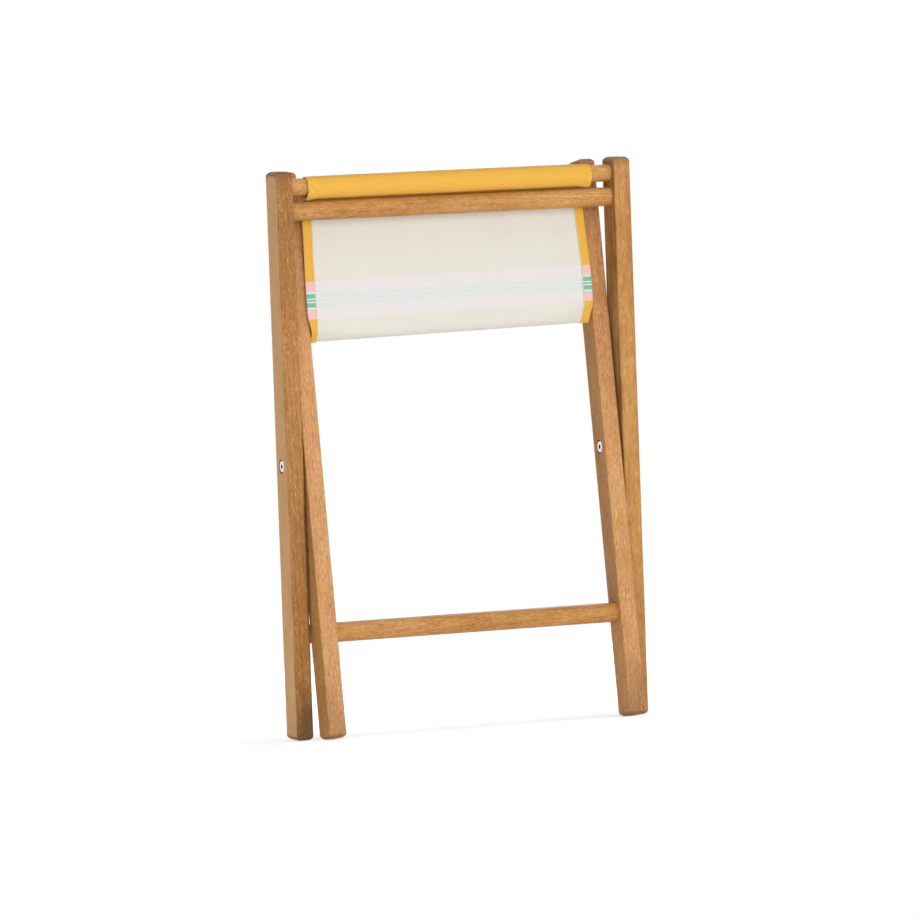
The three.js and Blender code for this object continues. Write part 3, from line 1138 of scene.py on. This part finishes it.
    def hang_in_front(self, x: float, distance: float) -> float:
        """Moves a place of the front half sideways to where it really hangs.

        Args:
            x: Place across the straight seat.
            distance: Distance from the seat's middle.

        Returns:
            X of the place.
        """
        edge = self.frame.half_width
        full, start = self.draw_reach
        drawn = ease(x, (edge - start, edge - full), (0.0, self.right_draw))
        drawn *= float(np.interp(distance, (0.0, self.draw_height), (1.0, 0.0)))
        places = (self.hung_at[0], self.marks["hang"] - self.hung_at[1], self.marks["hang"])
        middle = ease(distance, places, self.hung_shift)
        half_width = ease(distance, places, self.hung_width)
        hung = middle + x * half_width / edge
        tuck = float(np.interp(distance, self.tuck_span, (1.0, 0.0)))
        side = math.copysign(1.0, hung)
        free = edge + self.tuck_spread - self.squeeze
        beyond = max(0.0, side * hung - free)
        widest = max(self.squeeze, half_width + side * middle - free)
        return hung - side * beyond * (1 - self.squeeze / widest) * tuck - drawn

    def ripple(self, x: float, distance: float) -> float:
        """Gentle unevenness of the hanging cloth and of the sleeve, on the coloured side.

        Args:
            x: Place across the seat.
            distance: Distance from the seat's middle.

        Returns:
            Offset in metres.
        """
        seed = 40.0 if self.half.turned else 0.0

        def waves(across: float, along: float, layer: float) -> float:
            """Noise with this many waves to a metre across the seat and along it."""
            return noise.noise(Vector((x * across + seed, distance * along, layer)))

        wave, small = waves(11, 9, 0.3), waves(34, 26, 7.1)
        from_hang = distance - self.marks["hang"]
        free = min(1.0, distance / (40 * MM)) * min(1.0, abs(from_hang) / (30 * MM))
        if from_hang < 0:
            return free * (0.9 * wave + 0.25 * small) * MM
        edge = self.frame.half_width - abs(x)
        raised = ease(edge, (self.hem_width, self.hem_width + self.stitch_inset), (1.0, 0.0))
        stitched = math.exp(-(((edge - self.hem_width + self.stitch_inset) / (0.9 * MM)) ** 2))
        round_rail = from_hang / (self.marks["sleeve"] - self.marks["hang"])
        slack = ease(round_rail, (0.0, 0.3, 0.6, 0.9), (0.0, -0.3, 0.7, 1.1))
        bulge = raised * (self.hem_bulge + 0.7 * MM * waves(260, 190, 3.7)) - 0.6 * MM * stitched
        return (0.25 * small + 0.3 * wave) * MM * free + slack * bulge

    def seam_bulk(self, x: float, distance: float) -> float:
        """Extra offset of the sewn flap, which lies over the hems at the sides.

        Args:
            x: Place across the seat.
            distance: Distance from the seat's middle.

        Returns:
            Offset on the flap's coloured side.
        """
        start = self.marks["sleeve"]
        along = np.clip((distance - start) / (self.flat_length - start), 0.0, 1.0)
        edge = self.frame.half_width - abs(x)
        over_hem = np.clip((self.hem_width + 3 * MM - edge) / (4 * MM), 0.0, 1.0)
        return float(min(1.0, 3 * along) * over_hem * 4 * self.fold_radius)

    def place(self, across: float, distance: float, offset: float = 0.0) -> Vector:
        """Point of the hung cloth.

        Args:
            across: Distance from the middle line of the flat cloth.
            distance: Distance from the seat's middle along the cloth.
            offset: Distance from the layer's middle, on the coloured side of the main layer.

        Returns:
            The point, in the stool's frame.
        """
        x, layer = self.across(across)
        hung = self.hang_aside(x, distance)
        point, normal = self.line_at(self.hang_aside(x, 0.0)).at(distance)
        lift = layer + offset + self.ripple(x, distance) + self.seam_bulk(x, distance)
        y, z = point + normal * lift
        spot = Vector((hung, y, z))
        return Matrix.Rotation(math.pi, 3, "Z") @ spot if self.half.turned else spot

    def grid(self) -> tuple[list[float], list[float]]:
        """Places of the grid's columns and rows on the flat cloth, closer together where it bends.

        Returns:
            Places across the cloth and along it.
        """
        body, fold, hem = self.columns
        folded = self.straight + self.turned_width
        half = np.concatenate(
            [
                np.linspace(0.0, self.straight, body),
                np.linspace(self.straight, folded, fold + 1)[1:],
                np.linspace(folded, folded + self.hem_width, hem + 1)[1:],
            ]
        )
        bend, panel, sleeve, flap = self.rows
        marks = self.marks
        along = (
            marks["bend"] * np.linspace(0.0, 1.0, bend, endpoint=False) ** 1.3,
            np.linspace(marks["bend"], marks["hang"], panel, endpoint=False),
            np.linspace(marks["hang"], marks["sleeve"], sleeve, endpoint=False),
            np.linspace(marks["sleeve"], self.flat_length, flap),
        )
        return [*(-half[:0:-1]).tolist(), *half.tolist()], np.concatenate(along).tolist()

    def make_cloth(self) -> bpy.types.Object:
        """Makes the canvas as one folded sheet with its hems.

        Returns:
            The object.
        """
        columns, rows = self.grid()
        mesh = bmesh.new()
        bmesh.ops.create_grid(mesh, x_segments=len(columns) - 1, y_segments=len(rows) - 1, size=0.5)
        uv = mesh.loops.layers.uv.new("cloth")
        flat = {}
        for vertex in mesh.verts:
            column = round((vertex.co.x + 0.5) * (len(columns) - 1))
            row = round((vertex.co.y + 0.5) * (len(rows) - 1))
            flat[vertex] = (columns[column], rows[row])
        for face in mesh.faces:
            for loop in face.loops:
                loop[uv].uv = flat[loop.vert]
        for vertex, (across, distance) in flat.items():
            vertex.co = self.place(across, distance)
        bmesh.ops.reverse_faces(mesh, faces=mesh.faces)
        cloth = finish_mesh(mesh, f"seat_canvas_{self.half.value}")
        for side in ClothSide:
            canvas = Canvas(
                f"canvas_{side.value}_side",
                side,
                fold=self.straight + self.turned_width / 2,
                selvedge=self.flat_width / 2,
                sleeve=self.marks["hang"],
            )
            cloth.data.materials.append(canvas.build())
        solid = cloth.modifiers.new("thickness", "SOLIDIFY")
        solid.thickness = self.thickness
        solid.offset = 0.0
        solid.material_offset = 1
        return cloth

    def make_stitches(self) -> bpy.types.Object:
        """Makes the stitch lines of the hems and the seam.

        Returns:
            The object.
        """
        mesh = bmesh.new()
        inset = self.frame.half_width - self.hem_width + self.stitch_inset
        surface = self.thickness / 2
        underneath = -2 * self.fold_radius - surface
        pitch = self.stitch + self.stitch_gap
        for side in (-inset, inset):
            for start in np.arange(pitch / 2, self.flat_length - self.flap, pitch):
                both_sides = start < self.marks["hang"]
                for offset in (surface, underneath) if both_sides else (surface,):
                    self._stitch(mesh, ((side, start), (side, start + self.stitch)), offset)
        seams = (self._distance_at_seam(), self.flat_length - self.flap / 2)
        for start in np.arange(-inset + pitch, inset - pitch, pitch):
            for seam in seams:
                self._stitch(mesh, ((start, seam), (start + self.stitch, seam)), surface)
        stitches = finish_mesh(mesh, f"seat_stitching_{self.half.value}")
        stitches.data.materials.append(SewingThread("sewing_thread").build())
        return stitches

    def _distance_at_seam(self) -> float:
        """Distance along the cloth at which the seam crosses the panel."""
        height = self.frame.front_rail.z - self.seam_drop - self.flap / 2
        hanging = self.distances <= self.marks["hang"]
        return float(np.interp(height, self.middle.points[hanging, 1], self.distances[hanging]))

    def _stitch(self, mesh: bmesh.types.BMesh, run: Sequence[Pair], offset: float) -> None:
        """Adds one stitch, half sunk in the cloth.

        Args:
            mesh: Mesh to add it to.
            run: Its two ends, as places across and along the cloth.
            offset: Height of the surface that it lies on.
        """
        start, end = (self.place(across, along, offset) for across, along in run)
        middle, reach = (start + end) / 2, end - start
        turn = reach.to_track_quat("Z", "Y").to_matrix().to_4x4()
        shape = bmesh.ops.create_uvsphere(
            mesh, u_segments=6, v_segments=4, radius=self.thread_radius, matrix=Matrix.Identity(4)
        )
        stretch = Matrix.Diagonal((1.0, 1.0, reach.length / (2 * self.thread_radius), 1.0))
        bmesh.ops.transform(mesh, matrix=Matrix.Translation(middle) @ turn @ stretch, verts=shape["verts"])

    def build(self) -> None:
        cloth = self.make_cloth()
        stitches = self.make_stitches()
        name = self.half.value
        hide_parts(f"seat_sleeve_{name}", f"seat_panel_{name}", f"seat_fold_{name}")
        for piece in (cloth, stitches):
            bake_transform(piece)
            LOGGER.info("%s built", piece.name)


def finish_mesh(mesh: bmesh.types.BMesh, name: str) -> bpy.types.Object:
    """Turns a bmesh into an object in the scene.

    Args:
        mesh: The mesh, which is freed.
        name: Name of the object.

    Returns:
        The object.
    """
    for face in mesh.faces:
        face.smooth = True
    data = bpy.data.meshes.new(name)
    mesh.to_mesh(data)
    mesh.free()
    piece = bpy.data.objects.new(name, data)
    bpy.context.scene.collection.objects.link(piece)
    return piece


# Studio


@dataclass(frozen=True)
class Lamp:
    """Soft rectangular lamp.

    Attributes:
        name: Name of the lamp.
        place: Where it stands, from the pivot.
        size: Its two sides.
        power: Its power in watts.
    """

    name: str
    place: Triple
    size: Pair
    power: float

    def build(self, target: Vector) -> None:
        """Adds the lamp, aimed at a point.

        Args:
            target: The point.
        """
        data = bpy.data.lights.new(self.name, "AREA")
        data.shape = "RECTANGLE"
        data.size, data.size_y = self.size
        data.energy = self.power
        lamp = bpy.data.objects.new(self.name, data)
        lamp.location = target + Vector(self.place)
        lamp.rotation_euler = (target - lamp.location).to_track_quat("-Z", "Y").to_euler()
        bpy.context.scene.collection.objects.link(lamp)


@dataclass
class Studio:
    """Pale floor, soft light and the camera.

    Attributes:
        frame: Shared places.
        view_turn: Turn of the camera to the stool's left, in radians.
        view_height: Height of the camera above the stool's own level, in radians.
        stool_lean: Lean of the stool away from the camera's upright, in radians.
        distance: Distance of the camera from the pivot.
        lens: Focal length in millimetres on a 36 mm sensor.
        lift: Distance that the camera stands below the line through the pivot.
        shift_left: Distance that it stands to the left of that line.
        ambient: Strength of the soft light from all round.
        floor_bounce: Strength of the floor's own light on the stool.
        floor_glow: Strength of the floor's own light in view, near the stool.
        horizon_glow: What is added to it far away, where the floor ends in the background.
        floor_size: Side of the floor.
        floor_colour: Colour of the floor.
        fade_behind: Distances behind the stool between which the floor turns to the background.
        fade_round: The same for the square of the distance to any side.
        lamps: The lamps.
    """

    frame: StoolFrame
    view_turn: float = math.radians(22.42)
    view_height: float = math.radians(8.755)
    stool_lean: float = math.radians(9.649)
    distance: float = 7.2585
    lens: float = 270.66
    lift: float = 4.67 * MM
    shift_left: float = -0.59 * MM
    ambient: float = 0.13
    floor_bounce: float = 0.38
    floor_glow: float = 0.55
    horizon_glow: float = 0.42
    floor_size: float = 6.0
    floor_colour: Colour = (0.8, 0.8, 0.8)
    fade_behind: Pair = (0.0, 0.6)
    fade_round: Pair = (0.4, 1.6)
    lamps: tuple[Lamp, ...] = (
        Lamp("key_lamp", (-0.75, -3.05, 0.7), (2.4, 2.4), 58.5),
        Lamp("right_lamp", (1.9, -2.4, 0.6), (1.8, 1.8), 9.0),
        Lamp("top_lamp", (0.2, -0.9, 2.7), (2.4, 2.4), 28.0),
        Lamp("back_lamp", (2.1, 2.6, 1.0), (1.6, 1.6), 26.0),
    )

    def build(self) -> None:
        """Builds the floor, the lamps, the world and the camera."""
        self._floor()
        self._world()
        for lamp in self.lamps:
            lamp.build(self.frame.pivot)
        self._camera()
        bpy.context.scene.view_settings.view_transform = "Standard"

    def _floor(self) -> None:
        """Adds the pale floor."""
        mesh = bmesh.new()
        bmesh.ops.create_grid(mesh, x_segments=1, y_segments=1, size=self.floor_size / 2)
        floor = finish_mesh(mesh, "studio_floor")
        graph = ShaderGraph(bpy.data.materials.new("studio_floor"))
        matt = graph.node("ShaderNodeBsdfDiffuse", {"Color": self.floor_colour})
        bounce, near, far = (
            graph.node("ShaderNodeEmission", {"Color": WHITE, "Strength": strength})
            for strength in (self.floor_bounce, self.floor_glow, self.floor_glow + self.horizon_glow)
        )
        x, y, _ = graph.split(graph.coordinate("Object"))
        away = graph.math("MAXIMUM", y.rise(*self.fade_behind), (x * x + y * y).rise(*self.fade_round))
        glow = graph.choose(away, near, far)
        in_view = graph.node("ShaderNodeLightPath", output="Is Camera Ray")
        glow = graph.choose(in_view, bounce, glow)
        graph.end(graph.node("ShaderNodeAddShader", {0: matt, 1: glow}))
        floor.data.materials.append(graph.owner)

    def _world(self) -> None:
        """Sets soft white light from all round, and a white background."""
        graph = ShaderGraph(bpy.data.worlds.new("studio"))
        path = graph.node("ShaderNodeLightPath").socket.node.outputs
        camera, glossy, through = (
            Signal(graph, path[f"Is {kind} Ray"]) for kind in ("Camera", "Glossy", "Transmission")
        )
        in_view = graph.math("MAXIMUM", graph.math("MAXIMUM", camera, glossy), through)
        soft, clear = (
            graph.node("ShaderNodeBackground", {"Color": WHITE, "Strength": strength})
            for strength in (self.ambient, 1.0)
        )
        graph.end(graph.choose(in_view, soft, clear), "ShaderNodeOutputWorld")
        bpy.context.scene.world = graph.owner

    def _camera(self) -> None:
        """Adds the camera."""
        turn, height = self.view_turn, self.view_height
        level = Vector((math.sin(turn), math.cos(turn), 0.0)) * math.cos(height)
        right = Vector((math.cos(turn), -math.sin(turn), 0.0))
        upright = Matrix.Rotation(self.stool_lean, 3, "X")
        forward, right = upright @ (level - Vector((0.0, 0.0, math.sin(height)))), upright @ right
        up = right.cross(forward)
        data = bpy.data.cameras.new("camera")
        data.lens = self.lens
        data.clip_end = 100.0
        camera = bpy.data.objects.new("camera", data)
        axes = Matrix((right, up, -forward)).transposed().to_4x4()
        spot = self.frame.pivot - forward * self.distance - up * self.lift - right * self.shift_left
        camera.matrix_world = Matrix.Translation(spot) @ axes
        bpy.context.scene.collection.objects.link(camera)
        bpy.context.scene.camera = camera


def main() -> None:
    """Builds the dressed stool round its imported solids."""
    logging.basicConfig(level=logging.INFO, format="%(message)s")
    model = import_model()
    frame = StoolFrame.read(model["joints"])
    Studio(frame).build()
    WoodFrames(model["nodes"], frame).dress()
    PivotBolts(model["nodes"], frame).dress()
    for half in SeatHalf:
        SlingHalf(frame, half).build()


if __name__ == "__main__":
    main()
